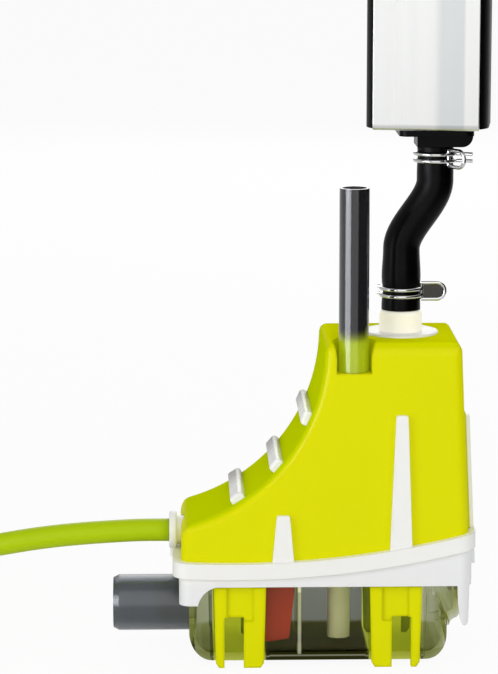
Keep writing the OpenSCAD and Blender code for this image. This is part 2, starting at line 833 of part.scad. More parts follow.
suction_x = 6.2;
suction_foot = floor_z + 0.8;
suction_bend = 9;
suction_lean = 50;

module suction_tube() color([0.93, 0.93, 0.86]) place() translate([suction_x, 0, 0])
  step_pipe(suction_d, suction_d - 2 * suction_wall, spigot_x - suction_x, suction_foot,
            top_z - 9, (deck_top + top_z) / 2, suction_bend, suction_lean);

spigot_neck_d = 9;
spigot_bore = 4.4;

// Half section of the top spigot: neck in the housing, shoulder, and stem inside the hose
module spigot_profile() {
  r = spigot_d / 2;
  stem = hose_bore / 2;
  soft = 1.4;
  difference() {
    union() {
      translate([0, -9]) square([spigot_neck_d / 2, 9.5]);
      square([r, spigot_top - top_z - soft]);
      translate([0, spigot_top - top_z - soft]) square([r - soft, soft]);
      translate([r - soft, spigot_top - top_z - soft]) circle(soft);
      square([stem, spigot_top - top_z + 9]);
    }
    translate([-1, -10]) square([spigot_bore / 2 + 1, 40]);
  }
}

module top_spigot() color([0.96, 0.94, 0.84]) place() translate([spigot_x, 0, top_z])
  rotate_extrude() spigot_profile();

module flange_washer() color(white) place() translate([spigot_x, 0, top_z]) rotate_extrude()
  difference() {
    translate([spigot_d / 2, 0]) square([(washer_d - spigot_d) / 2, 0.7]);
    translate([washer_d / 2, 0.7]) mirror([1, 0]) mirror([0, 1]) round_off(0.5);
  }

module hose() color(black) place() translate([spigot_x, 0, 0])
  step_pipe(hose_d, hose_bore, hose_x - spigot_x, hose_z0, hose_z1,
            (hose_z0 + hose_z1) / 2 + 1.6, 14, 30);

module vent_tube() color(smoke) place() translate([vent_x, vent_y, pocket_z])
  ring(vent_d, vent_bore, vent_len);

// ---- hose clips ----

clip_gap = 1.9;
wire_less = 0.1;     // how much thinner the crossing wires are, so that they join cleanly
wire_r = hose_d / 2 + wire_d / 2;
ear_in = wire_r;
ear_len = 6.6;
ear_h = 4.6;

// Two turns of wire round the hose, joined by a long loop that sticks out as the ear
module wire_clip(ear_turn, tail_turn, tail) {
  for (s = [-1, 1]) translate([0, 0, s * clip_gap / 2]) rotate_extrude()
    translate([wire_r, 0]) circle(d = wire_d, $fn = 24);
  rotate([0, 0, ear_turn]) ear_loop();
  rotate([0, 0, tail_turn]) for (s = [-1, 1])
    translate([wire_r - 0.4, 0, s * clip_gap / 2]) rotate([0, 90, 0])
      cylinder(d = wire_d - wire_less, h = tail, $fn = 24);
}

module ear_loop() {
  straight = ear_len - ear_h / 2;
  for (s = [-1, 1]) translate([ear_in, 0, s * ear_h / 2]) rotate([0, 90, 0])
    cylinder(d = wire_d, h = straight, $fn = 24);
  translate([ear_in + straight, 0, 0]) rotate([90, 0, 0]) rotate([0, 0, -90])
    rotate_extrude(angle = 180) translate([ear_h / 2, 0]) circle(d = wire_d, $fn = 24);
  translate([ear_in, 0, -ear_h / 2]) cylinder(d = wire_d - wire_less, h = ear_h, $fn = 24);
}

lower_clip_z = spigot_top + 5;
upper_clip_z = hose_z1 - 3.1;

module lower_hose_clip() color(steel) place() translate([spigot_x, 0, lower_clip_z])
  wire_clip(0, 150, 2);

module upper_hose_clip() color(steel) place() translate([hose_x, 0, upper_clip_z])
  wire_clip(-55, -20, 5.4);

// The thin plate that fills the lower clip's ear
module ear_plate() color([0.22, 0.21, 0.2]) place() translate([spigot_x, 0, lower_clip_z])
  translate([ear_in + wire_d / 2, 0, 0]) along_y(0.6) {
    straight = ear_len - ear_h / 2 - wire_d / 2;
    r = ear_h / 2 - wire_d / 2;
    translate([0, -r]) square([straight, 2 * r]);
    translate([straight, 0]) circle(r);
  }

// ---- pump ----

module pump_place() place() translate([pump_x, 0, pump_z]) rotate([0, 0, -pump_turn]) children();

module pump_nose() color(black) place() difference() {
  union() {
    translate([hose_x, 0, pump_z - nose_flange_t]) linear_extrude(nose_flange_t)
      round_box(-nose_flange_r, nose_right, nose_flange_y, 2.5);
    nose_block();
    translate([hose_x, 0, hose_z1 - nose_neck]) cylinder(d = hose_bore, h = nose_neck + cut);
    translate([pump_x, 0, pump_z - cut]) cylinder(d = bore_d, h = boss_in + cut);
  }
  translate([hose_x, 0, hose_z1 - nose_neck - cut]) cylinder(d = spigot_bore, h = nose_neck + 8);
  translate([pump_x, 0, pump_z - nose_flange_t - cut]) cylinder(d = spigot_bore, h = 20);
  translate([pump_x, 0, pump_z + boss_in - 2]) o_ring_groove();
}

// The boot under the flange, one lower corner swept round
module nose_block() translate([0, 0, hose_z1]) along_y(12) {
  x0 = hose_x - hose_d / 2 - 0.4;
  x1 = hose_x + nose_right - 0.05;
  difference() {
    translate([x0, 0]) square([x1 - x0, nose_body_h + 0.1]);
    translate([x1, 0]) mirror([1, 0]) round_off(3);
  }
}

o_ring_wire = 1.4;
o_ring_r = bore_d / 2 - o_ring_wire / 2;

module o_ring_groove() rotate_extrude() translate([bore_d / 2 - o_ring_wire, -o_ring_wire / 2])
  square([o_ring_wire + cut, o_ring_wire]);

module o_rings() color(black) pump_place() for (z = [boss_in - 2, outlet_in + 6])
  translate([0, 0, z]) rotate_extrude() translate([o_ring_r, 0]) circle(d = o_ring_wire, $fn = 24);

// The yoke is bent from one strip: front, floor and roof; the yoke plate closes its back
module yoke() color(steel) pump_place() difference() {
  translate([-yoke_w / 2, -yoke_depth / 2, 0]) cube([yoke_w, yoke_depth - yoke_t, yoke_h]);
  translate([-yoke_w, -yoke_depth / 2 + yoke_t, yoke_t])
    cube([2 * yoke_w, yoke_depth, yoke_h - 2 * yoke_t]);
  for (z = [0, yoke_h]) translate([0, -yoke_depth / 2, z]) mirror([0, 0, z > 0 ? 1 : 0])
    along_x(2 * yoke_w) round_off(1.6);
  translate([0, 0, -cut]) cylinder(d = guide_d + 2 * slide_fit, h = yoke_h + 2 * cut);
}

module yoke_plate() color(steel) pump_place() translate([0, yoke_depth / 2 - yoke_t / 2, 0])
  along_y(yoke_t) difference() {
    translate([-yoke_w / 2, 0]) square([yoke_w, yoke_h]);
    for (x = [-8, 8]) translate([x, yoke_h / 2]) circle(d = 3.2);
  }

module coil_outline() intersection() {
  round_box(-coil_w / 2, coil_w / 2, coil_w / 2, coil_r);
  square([coil_w, coil_depth], center = true);
}

module coil_cover() color(black) pump_place() difference() {
  union() {
    translate([0, 0, yoke_t]) linear_extrude(yoke_h - 2 * yoke_t) coil_outline();
    // the sides reach down and up past the yoke's floor and roof
    translate([0, 0, 0.2]) linear_extrude(yoke_h - 0.4) difference() {
      coil_outline();
      square([yoke_w + 0.2, yoke_depth], center = true);
    }
  }
  translate([0, 0, 0]) cylinder(r = winding_r, h = yoke_h);
  // the pocket that holds the thermal cut-out
  translate([-3.1, coil_depth / 2 - cutout_t - 0.1, yoke_h - yoke_t - 13])
    cube([6.2, 3, 10.2]);
}

winding_r = coil_depth / 2 - 1.3;
cutout_t = 1.6;
spool_r = guide_d / 2 + 2.2;

module coil_bobbin() color([0.15, 0.15, 0.16]) pump_place() difference() {
  translate([0, 0, yoke_t]) {
    cylinder(r = spool_r, h = yoke_h - 2 * yoke_t);
    cylinder(r = winding_r, h = 2);
    translate([0, 0, yoke_h - 2 * yoke_t - 2]) cylinder(r = winding_r, h = 2);
  }
  cylinder(r = guide_d / 2 + 1, h = yoke_h);
}

module coil_winding() color([0.72, 0.4, 0.2]) pump_place() translate([0, 0, yoke_t + 2])
  ring(2 * winding_r - 1, 2 * spool_r, yoke_h - 2 * yoke_t - 4);

module pole_rings() color("gray") pump_place() for (z = [yoke_t, yoke_h - yoke_t - 10])
  translate([0, 0, z]) ring(guide_d + 2, guide_d, 10);

module guide_tube() color([0.8, 0.7, 0.4]) pump_place() ring(guide_d, bore_d, yoke_h);

module thermal_cutout() color([0.85, 0.85, 0.8]) pump_place()
  translate([-3, coil_depth / 2 - cutout_t, yoke_h - yoke_t - 12.9]) cube([6, cutout_t, 10]);

module spade_terminals() color([0.85, 0.7, 0.35]) pump_place() for (x = [-6.5, 6.5])
  translate([x, coil_depth / 2 - 2.6, 0]) along_y(0.8) difference() {
    translate([-2.4, yoke_h]) square([4.8, 8]);
    translate([0, yoke_h + 5.4]) circle(d = 1.6);
  }

// ---- outlet ----

// Half section of the outlet nozzle: boss, flange and barbed stem
module nozzle_profile() {
  stem = 3;
  polygon([
    [0, outlet_in], [bore_d / 2, outlet_in], [bore_d / 2, yoke_h], [9.5, yoke_h],
    [9.5, yoke_h + 2.2], [8.9, yoke_h + 2.8], [5.2, yoke_h + 2.8], [5.2, yoke_h + 5],
    [4.8, yoke_h + 5.6], [stem, yoke_h + 5.6], [stem, yoke_h + nozzle_len - 3.8],
    [stem - 0.5, yoke_h + nozzle_len - 3.4], [stem - 0.5, yoke_h + nozzle_len - 3],
    [stem, yoke_h + nozzle_len - 3], [stem - 0.7, yoke_h + nozzle_len],
    [0, yoke_h + nozzle_len]
  ]);
}

chamber_r = ball_r + 0.6;
outlet_roof = yoke_h + 3.4;

module outlet_nozzle() color(black) pump_place() difference() {
  rotate_extrude() nozzle_profile();
  translate([0, 0, outlet_in - cut]) cylinder(r = seat_r, h = 10);
  translate([0, 0, outlet_seat]) cylinder(r = chamber_r, h = outlet_roof - outlet_seat);
  translate([0, 0, outlet_roof - cut]) cylinder(r = 1.5, h = nozzle_len + 10);
  translate([0, 0, outlet_in + 6]) o_ring_groove();
}

module outlet_ball() color(steel) pump_place() translate([0, 0, outlet_seat + ball_rise]) sphere(ball_r);

outlet_spring_z = outlet_seat + ball_rise + ball_r + 0.1;

module outlet_ball_spring() color(steel) pump_place() translate([0, 0, outlet_spring_z])
  spring(1.6, 0.4, outlet_roof - 0.1 - outlet_spring_z, 4, 8, 6);

// ---- piston ----

piston_top = piston_z + piston_len;
cap_h = 1.5;

module piston() color("silver") pump_place() difference() {
  translate([0, 0, piston_z]) cylinder(r = bore_d / 2 - slide_fit, h = piston_len);
  translate([0, 0, piston_z - cut]) cylinder(r = seat_r, h = piston_len);
  translate([0, 0, piston_seat]) cylinder(r = chamber_r, h = 20);
}

module piston_cap() color([0.9, 0.9, 0.88]) pump_place() translate([0, 0, piston_top - cap_h])
  ring(2 * chamber_r, 2 * seat_r, cap_h);

module piston_ball() color(steel) pump_place() translate([0, 0, piston_seat + ball_rise]) sphere(ball_r);

piston_spring_z = piston_seat + ball_rise + ball_r + 0.1;

module piston_ball_spring() color(steel) pump_place() translate([0, 0, piston_spring_z])
  spring(2, 0.4, piston_top - cap_h - 0.1 - piston_spring_z, 4, 8, 6);

module lower_spring() color(steel) pump_place() translate([0, 0, boss_in + 0.1])
  spring(spring_r, spring_wire, piston_z - boss_in - 0.2, 4);

module upper_spring() color(steel) pump_place() translate([0, 0, piston_top + 0.1])
  spring(spring_r, spring_wire, outlet_in - piston_top - 0.2, 4);

// ---- cable ----

module cable() color([0.6, 0.8, 0.05])
  sweep(concat([[shift_x - gland_out, 0, cable_z]], route), cable_d);

module cable_tail() color([0.6, 0.8, 0.05]) sweep(tail_route, cable_d);

// The outer shape of the wound turns, two side by side and four high
module cable_coil() color([0.6, 0.8, 0.05]) translate([coil_at[0], coil_at[1], 0])
  rotate_extrude($fn = 96) coil_section(0);

// Cross-section of the wound turns, grown by some amount
module coil_section(grow) {
  w = coil_wide * cable_d / 2 + grow;
  z = tie_t - grow;
  translate([coil_mid_r, z + coil_high * cable_d / 2 + grow]) rotate(-90)
    round_box(-coil_high * cable_d / 2 - grow, coil_high * cable_d / 2 + grow, w,
              cable_d / 2 + grow);
}

// Two bands round the turns; the coil lies on them
module coil_ties() color(black) translate([coil_at[0], coil_at[1], 0])
  for (a = tie_angles) rotate([0, 0, a]) rotate_extrude(angle = tie_w / coil_mid_r * 180 / PI)
    difference() {
      coil_section(tie_t);
      coil_section(0);
    }

tail_end = tail_route[len(tail_route) - 1];

module core_places() for (i = [0 : 3]) translate(tail_end + [0, (i - 1.5) * 1.5, 0])
  rotate([0, -90, (i - 1.5) * -6]) children();

module cable_cores() color("saddlebrown") core_places() cylinder(d = 1.4, h = core_len, $fn = 24);

module ferrules() color(steel) core_places() translate([0, 0, core_len])
  cylinder(d = 1.2, h = ferrule_len, $fn = 24);

// ---- nodes ----

housing();
chassis();
grip_ribs();
cable_gland();
circuit_board();
board_screws();
hall_sensors();
relay();
capacitor();
reservoir_seal();
suction_tube();
top_spigot();
flange_washer();
vent_tube();
hose();
lower_hose_clip();
ear_plate();
upper_hose_clip();
reservoir();
inlet_stub();
float();
float_magnet();
clip_front_left();
clip_front_right();
clip_back_left();
clip_back_right();
pump_nose();
yoke();
yoke_plate();
coil_cover();
coil_bobbin();
coil_winding();
pole_rings();
guide_tube();
o_rings();
thermal_cutout();
spade_terminals();
outlet_nozzle();
outlet_ball();
outlet_ball_spring();
piston();
piston_cap();
piston_ball();
piston_ball_spring();
lower_spring();
upper_spring();
cable();
cable_coil();
coil_ties();
cable_tail();
cable_cores();
ferrules();
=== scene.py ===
"""Condensate pump: a lime boot-shaped level unit over a clear reservoir, a smoked vent tube,
a black rubber hose, and a steel-bracketed piston pump above. Metres, +Z up, front towards -Y."""

import json
import math

import bpy
import numpy as np
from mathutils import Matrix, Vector


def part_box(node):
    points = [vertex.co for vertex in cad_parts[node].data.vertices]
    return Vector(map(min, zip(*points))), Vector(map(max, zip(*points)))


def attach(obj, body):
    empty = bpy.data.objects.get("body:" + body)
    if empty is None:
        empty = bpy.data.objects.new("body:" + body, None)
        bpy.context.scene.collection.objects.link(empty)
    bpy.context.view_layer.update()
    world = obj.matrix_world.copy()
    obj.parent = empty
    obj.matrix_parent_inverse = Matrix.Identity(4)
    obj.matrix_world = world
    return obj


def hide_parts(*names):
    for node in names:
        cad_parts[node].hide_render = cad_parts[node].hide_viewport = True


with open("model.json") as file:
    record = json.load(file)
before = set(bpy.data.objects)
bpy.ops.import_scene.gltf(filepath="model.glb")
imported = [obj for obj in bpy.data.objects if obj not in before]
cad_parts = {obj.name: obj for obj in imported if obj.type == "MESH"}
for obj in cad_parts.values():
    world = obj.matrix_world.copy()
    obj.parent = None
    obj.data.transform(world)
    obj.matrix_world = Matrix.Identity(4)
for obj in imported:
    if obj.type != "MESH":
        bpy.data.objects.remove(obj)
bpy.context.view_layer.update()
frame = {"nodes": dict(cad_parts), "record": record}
nodes = frame["nodes"]
MM = 0.001


# ---- camera ----

VIEW_TURN = math.radians(-1.5)
VIEW_DROP = math.radians(10)
AIM = np.array([-14.49, 0.0, 90.6]) * MM
DISTANCE = 812 * MM
FILM_HEIGHT = 24
FOCAL_LENGTH = 103.264


def add_camera():
    """A long lens in front of the object, a little above it, looking at AIM."""
    forward = np.array([
        -math.sin(VIEW_TURN) * math.cos(VIEW_DROP),
        math.cos(VIEW_TURN) * math.cos(VIEW_DROP),
        -math.sin(VIEW_DROP),
    ])
    data = bpy.data.cameras.new("camera")
    data.sensor_fit = "VERTICAL"
    data.sensor_height = FILM_HEIGHT
    data.lens = FOCAL_LENGTH
    data.clip_start = 0.05
    data.clip_end = 20
    camera = bpy.data.objects.new("camera", data)
    camera.location = AIM - DISTANCE * forward
    camera.rotation_euler = (math.pi / 2 - VIEW_DROP, 0, VIEW_TURN)
    bpy.context.scene.collection.objects.link(camera)
    bpy.context.scene.camera = camera


add_camera()


# ---- mesh helpers ----

def mesh_object(name, points, *faces):
    """A smooth-shaded mesh object from an array of points, and arrays of faces that hold the
    numbers of their points: the quads in one array, the triangles in another."""
    mesh = bpy.data.meshes.new(name)
    mesh.from_pydata(points.tolist(), [], [face for group in faces for face in group.tolist()])
    mesh.polygons.foreach_set("use_smooth", np.ones(len(mesh.polygons), bool))
    mesh.update()
    piece = bpy.data.objects.new(name, mesh)
    bpy.context.scene.collection.objects.link(piece)
    return piece


def grid_faces(rows, columns, closed=True):
    """Quads of a grid of rows by columns of points, the columns joined round when closed."""
    row = np.arange(rows - 1)[:, None]
    column = np.arange(columns if closed else columns - 1)[None, :]
    after = (column + 1) % columns
    here, above = row * columns, (row + 1) * columns
    return np.stack([here + column, here + after, above + after, above + column], -1).reshape(-1, 4)


def s_curve(value, low, high):
    """0 below low, 1 above high, and 3 t^2 - 2 t^3 at the share t of the way between them."""
    t = np.clip((value - low) / (high - low), 0, 1)
    return t * t * (3 - 2 * t)


def bell(value, middle, width):
    """A bell of height 1: e to the power of minus the square of (value - middle) / width."""
    return np.exp(-(((value - middle) / width) ** 2))


def smooth_path(points, spacing):
    """A Catmull-Rom curve through the points, sampled at equal steps along its length. Each
    stretch from b to c is a cubic in t whose slopes at its ends are half of c - a and d - b."""
    p = np.asarray(points, float)
    p = np.vstack([2 * p[0] - p[1], p, 2 * p[-1] - p[-2]])
    a, b, c, d = p[:-3, None], p[1:-2, None], p[2:-1, None], p[3:, None]
    t = np.linspace(0, 1, 24, endpoint=False)[:, None]
    spans = 0.5 * ((2 * b) + (c - a) * t + (2 * a - 5 * b + 4 * c - d) * t**2
                   + (3 * b - a - 3 * c + d) * t**3)
    fine = np.vstack([spans.reshape(-1, 3), p[-2]])
    run = np.concatenate([[0], np.cumsum(np.linalg.norm(np.diff(fine, axis=0), axis=1))])
    steps = np.linspace(0, run[-1], max(2, int(round(run[-1] / spacing)) + 1))
    return np.stack([np.interp(steps, run, fine[:, axis]) for axis in range(3)], 1)


def directions(path):
    """Unit tangents along a path."""
    step = np.gradient(path, axis=0)
    return step / np.linalg.norm(step, axis=1)[:, None]


def rings(centres, radii, side, up, count):
    """One circle of points for each centre and its radius:
    centre + radius * (cos(angle) * side + sin(angle) * up), at equal steps of the angle."""
    angle = np.arange(count)[:, None] * 2 * math.pi / count
    around = np.cos(angle) * side[:, None] + np.sin(angle) * up[:, None]
    return (centres[:, None] + radii[:, None, None] * around).reshape(-1, 3)


def swept_tube(name, path, radius, sides):
    """A rod of one radius: circles round each point of the path, in the plane across it, and
    a flat disc of triangles round the path's own first and last point as its ends."""
    tangent = directions(path)
    side = np.cross(tangent, [0, 0, 1])
    side /= np.linalg.norm(side, axis=1)[:, None]
    wall = rings(path, np.full(len(path), radius), side, np.cross(side, tangent), sides)
    points = np.vstack([wall, path[0], path[-1]])
    near = np.arange(sides)
    near_after = (near + 1) % sides
    last_ring = (len(path) - 1) * sides
    first_disc = np.stack([np.full(sides, len(wall)), near, near_after], 1)
    last_disc = np.stack([np.full(sides, len(wall) + 1), last_ring + near_after, last_ring + near], 1)
    return mesh_object(name, points, grid_faces(len(path), sides)[:, ::-1], first_disc, last_disc)


# ---- cable ----

# Millimetres, as in the solids' own route.
CABLE_D = 6.4
CABLE_Z = 35.3
CABLE_STEP = 3.0
CABLE_SIDES = 20
COIL_AT = (-134, 50.4)
COIL_MID_R = 35
COIL_TURNS = 8
TURN_STEPS = 48
TURN_HELD = 0.84
TIE_T = 0.8
ROUTE = [
    (-45, 0, CABLE_Z), (-52, 0, 35), (-60, 0, 34.5), (-68, 0, 33.8), (-76, 0, 32.8),
    (-84, 0, 31.5), (-89.6, 0.4, 30.5), (-95.1, 1.5, 29.4), (-100.7, 3.2, 28.1),
    (-106.2, 5.1, 26.9), (-111.8, 7.1, 25.8), (-117.3, 9, 24.7), (-122.9, 10.7, 23.9),
    (-128.4, 11.8, 23.4),
]
TAIL = [(-140, 5.8, 3.9), (-146, 5.8, 3.5), (-152, 5.8, 3.2)]


def coil_points():
    """Eight turns about COIL_AT, from the outer top turn in and out, layer by layer, down to
    the outer bottom turn. Each turn keeps its radius and height but for its last sixth, where
    it eases over to the next place; the last place of all lies outside the bottom turn."""
    outer, inner = COIL_MID_R + CABLE_D / 2, COIL_MID_R - CABLE_D / 2
    radius = np.array([outer, inner, inner, outer] * 2 + [outer + CABLE_D])
    height = TIE_T + CABLE_D / 2 + CABLE_D * np.array([3, 3, 2, 2, 1, 1, 0, 0, 0])
    turn = np.arange(TURN_STEPS * COIL_TURNS + 1) / TURN_STEPS
    place = np.minimum(turn.astype(int), COIL_TURNS - 1)
    ease = s_curve(turn - place, TURN_HELD, 1)
    r = radius[place] * (1 - ease) + radius[place + 1] * ease
    z = height[place] * (1 - ease) + height[place + 1] * ease
    angle = -math.pi / 2 - 2 * math.pi * turn
    return np.stack([COIL_AT[0] + r * np.cos(angle), COIL_AT[1] + r * np.sin(angle), z], 1)


def add_cable():
    """The whole supply cable: out of its ring, down to the coil, round it, and its bare end."""
    start = (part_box("cable")[1].x / MM, 0, CABLE_Z)
    path = smooth_path(np.vstack([start, ROUTE, coil_points(), TAIL]), CABLE_STEP) * MM
    cable = swept_tube("supply_cable", path, CABLE_D / 2 * MM, CABLE_SIDES)
    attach(cable, "base")
    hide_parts("cable", "cable_coil", "cable_tail")
    return cable


supply_cable = add_cable()


# ---- hose ----

# The hose crosses over between the shares BEND_START and BEND_END of its height.
HOSE_R = 5.1 * MM
HOSE_BORE_R = 3.6 * MM
HOSE_RINGS = 140
HOSE_SIDES = 48
HOSE_STRETCH = 0.07
BEND_START = 0.37
BEND_END = 0.79
LOWER_DENT = 0.35 * MM
UPPER_DENT = 0.18 * MM
DENT_WIDTH = 2.2 * MM


def middle_z(name):
    """The height of a node's middle."""
    low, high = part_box(name)
    return (low.z + high.z) / 2


def add_hose():
    """The rubber hose: circles of points round an S-shaped centre line, each square to it, with
    upright ends. The radius grows by HOSE_STRETCH at the foot, where the hose is stretched over
    the spigot, and has a bell-shaped dent under each clip. Both ends fold over to the bore."""
    low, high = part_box("hose")
    z = np.linspace(low.z, high.z, HOSE_RINGS)
    foot_x, head_x = low.x + HOSE_R, high.x - HOSE_R
    tall = high.z - low.z
    bend = s_curve(z, low.z + BEND_START * tall, low.z + BEND_END * tall)
    path = np.stack([foot_x + (head_x - foot_x) * bend, np.zeros_like(z), z], 1)
    tangent = directions(path)
    side = np.stack([tangent[:, 2], np.zeros_like(z), -tangent[:, 0]], 1)
    stretched = 1 - s_curve(z, low.z + 9 * MM, low.z + 17 * MM)
    radius = HOSE_R * (1 + HOSE_STRETCH * stretched)
    radius -= LOWER_DENT * bell(z, middle_z("lower_hose_clip"), DENT_WIDTH)
    radius -= UPPER_DENT * bell(z, middle_z("upper_hose_clip"), DENT_WIDTH)
    radius = np.concatenate([[HOSE_BORE_R], radius, [HOSE_BORE_R]])
    centre = np.vstack([path[0], path, path[-1]])
    side = np.vstack([side[0], side, side[-1]])
    front = np.broadcast_to([0.0, -1.0, 0.0], side.shape)
    points = rings(centre, radius, side, front, HOSE_SIDES)
    hose = mesh_object("rubber_hose", points, grid_faces(len(centre), HOSE_SIDES))
    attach(hose, "base")
    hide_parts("hose")
    return hose


rubber_hose = add_hose()


# ---- shader helpers ----

class Value:
    """A node's output socket. Where it carries numbers, +, -, * and / add the Math nodes."""

    def __init__(self, paint, socket):
        self.paint = paint
        self.socket = socket

    def _math(self, operation, a, b):
        return self.paint.node("ShaderNodeMath", {"operation": operation}, {0: a, 1: b})

    def __add__(self, other):
        return self._math("ADD", self, other)

    def __sub__(self, other):
        return self._math("SUBTRACT", self, other)

    def __rsub__(self, other):
        return self._math("SUBTRACT", other, self)

    def __mul__(self, other):
        return self._math("MULTIPLY", self, other)

    def __truediv__(self, other):
        return self._math("DIVIDE", self, other)

    def __rtruediv__(self, other):
        return self._math("DIVIDE", other, self)

    __radd__ = __add__
    __rmul__ = __mul__


class Paint:
    """A material's node tree with a Principled shader at its end."""

    def __init__(self, name):
        self.name = name
        self.material = bpy.data.materials.new(name)
        self.material.use_nodes = True
        self.tree = self.material.node_tree
        self.shader = self.tree.nodes["Principled BSDF"]

    def node(self, kind, settings=None, inputs=None, output=0):
        """Any node: its settings first, then its inputs, a number, a colour or another socket."""
        made = self.tree.nodes.new(kind)
        for key, value in (settings or {}).items():
            if key == "stops":
                self._stops(made.color_ramp, value)
            else:
                setattr(made, key, value)
        for key, value in (inputs or {}).items():
            self._feed(made.inputs[key], value)
        return Value(self, made.outputs[output])

    def _stops(self, ramp, stops):
        """Fills a colour ramp from pairs of a place and a colour."""
        while len(ramp.elements) < len(stops):
            ramp.elements.new(0.5)
        for element, (place, colour) in zip(ramp.elements, stops):
            element.position = place
            element.color = (*colour, 1)

    def _feed(self, socket, value):
        """Links another socket, or sets a number, a vector or an opaque colour."""
        if isinstance(value, Value):
            self.tree.links.new(value.socket, socket)
        elif socket.type == "RGBA":
            socket.default_value = (*value, 1)
        else:
            socket.default_value = value

    def set(self, **inputs):
        """Feeds the Principled shader: names with underscores for spaces."""
        for key, value in inputs.items():
            self._feed(self.shader.inputs[key.replace("_", " ")], value)
        return self

    def place(self):
        """Object coordinates, in metres."""
        return self.node("ShaderNodeTexCoord", output="Object")

    def along(self, axis):
        """One of the object coordinates, in metres."""
        return self.node("ShaderNodeSeparateXYZ", inputs={0: self.place()}, output=axis)

    def noise(self, scale, detail, rough=0.5, where=None):
        """Fractal noise from 0 to 1 at a scale per metre."""
        return self.node("ShaderNodeTexNoise", inputs={
            "Vector": where or self.place(), "Scale": scale, "Detail": detail, "Roughness": rough,
        })

    def drawn(self, scales, detail, rough):
        """Noise at a scale per metre for each axis, drawn out along the axis of the least."""
        where = self.node("ShaderNodeMapping", inputs={"Vector": self.place(), "Scale": scales})
        return self.noise(1.0, detail, rough, where)

    def span(self, value, low, high):
        """0 below low, 1 above high, and an even S between them."""
        return self.node("ShaderNodeMapRange", {"interpolation_type": "SMOOTHSTEP"}, {
            "Value": value, "From Min": low, "From Max": high,
        })

    def band(self, value, low, high):
        """1 between low and high and 0 outside, with edges 0.4 mm wide."""
        soft = 0.2 * MM
        return self.span(value, low - soft, low + soft) - self.span(value, high - soft, high + soft)

    def root(self, value):
        """The square root."""
        return self.node("ShaderNodeMath", {"operation": "SQRT"}, {0: value})

    def larger(self, a, b):
        """The larger of two values."""
        return self.node("ShaderNodeMath", {"operation": "MAXIMUM"}, {0: a, 1: b})

    def specks(self, scale, detail, rough, low, high):
        """The peaks of a noise: 0 where it is below low, 1 above high, straight between them."""
        stops = ((low, grey(0)), (high, grey(1)))
        return self.node("ShaderNodeValToRGB", {"stops": stops}, {
            "Fac": self.noise(scale, detail, rough),
        })

    def blend(self, factor, a, b):
        """Colour a where factor is 0, colour b where it is 1. The Mix node's sockets for colours
        are its inputs 6 and 7 and its output 2, after those for numbers and vectors."""
        return self.node("ShaderNodeMix", {"data_type": "RGBA"}, {0: factor, 6: a, 7: b}, output=2)

    def bump(self, height, distance):
        """A bump of some distance in metres from a height of 0 to 1."""
        return self.node("ShaderNodeBump", inputs={
            "Height": height, "Distance": distance, "Strength": 1.0,
        })

    def soft_edges(self, radius, bumped):
        """Rounds the look of sharp edges by a radius in metres before a bump is laid on."""
        edge = self.node("ShaderNodeBevel", {"samples": 4}, {"Radius": radius})
        self.tree.links.new(edge.socket, bumped.socket.node.inputs["Normal"])
        return bumped


def grey(value):
    """A colour without hue."""
    return (value, value, value)


# ---- materials ----

# Where tones change. The belt's lower edge is at BELT_EDGE_Z plus BELT_RISE per metre times the
# square of the way along it from SKIRT_X.
HOUSING_LOW, HOUSING_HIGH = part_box("housing")
BOWL_LOW, BOWL_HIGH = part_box("reservoir")
TOP_Z = HOUSING_HIGH.z - 4.6 * MM
INSTEP_X = HOUSING_LOW.x - 11.65 * MM
INSTEP_Z = TOP_Z - 1.4 * MM
INSTEP_R = 51.4 * MM
SKIRT_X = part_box("chassis")[0].x
BELT_EDGE_Z = 23.9 * MM
BELT_RISE = 1.22
INLET_TOP_Z = 30 * MM
BACK_WALL_Y = BOWL_HIGH.y - 2.4 * MM
DIVIDER_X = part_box("float")[1].x + 1.15 * MM
DIVIDER_HALF = 0.45 * MM
BLACK = grey(0)
FINE_GRAIN = 2600


def mould(paint, colour, rough, gloss=0.35):
    """Lays a colour on moulded plastic: fine spark-eroded grain, faint scuffs that dull the
    gloss, and softly rounded edges."""
    return paint.set(
        Base_Color=colour,
        Roughness=paint.specks(220, 4, 0.6, low=0.45, high=0.75) * 0.06 + rough,
        Normal=paint.soft_edges(0.25 * MM, paint.bump(paint.noise(FINE_GRAIN, 2), 0.03 * MM)),
        Specular_IOR_Level=gloss,
    )


def moulded(name, colour, deep, rough, gloss=0.35):
    """Moulded plastic in two close tones, in soft clouds."""
    paint = Paint(name)
    return mould(paint, paint.blend(paint.noise(18, 2), colour, deep), rough, gloss)


def painted_glow_moulded(name, colour, deep, rough, glow):
    """Moulded plastic with a painted glow: a share of its colour is given out as light, though the
    part is no lamp.
    """
    return moulded(name, colour, deep, rough).set(Emission_Color=colour, Emission_Strength=glow)


def white(name):
    """The chassis's white plastic: warm on the belt and above, and cooler and a little greyer on the
    skirt, as painted shade in its recess below the belt. The belt's lower edge rises with the square
    of the way from the left end."""
    paint = Paint(name)
    warm = paint.blend(paint.noise(18, 2), (0.94, 0.935, 0.91), (0.91, 0.91, 0.885))
    way = paint.along("X") - SKIRT_X
    height = paint.along("Z") - way * way * BELT_RISE
    # painted shade: a cooler, greyer tone on the recessed skirt below the belt
    skirt = 1.0 - paint.span(height, BELT_EDGE_Z, BELT_EDGE_Z + 1.3 * MM)
    return mould(paint, paint.blend(skirt, warm, (0.87, 0.875, 0.885)), 0.3)


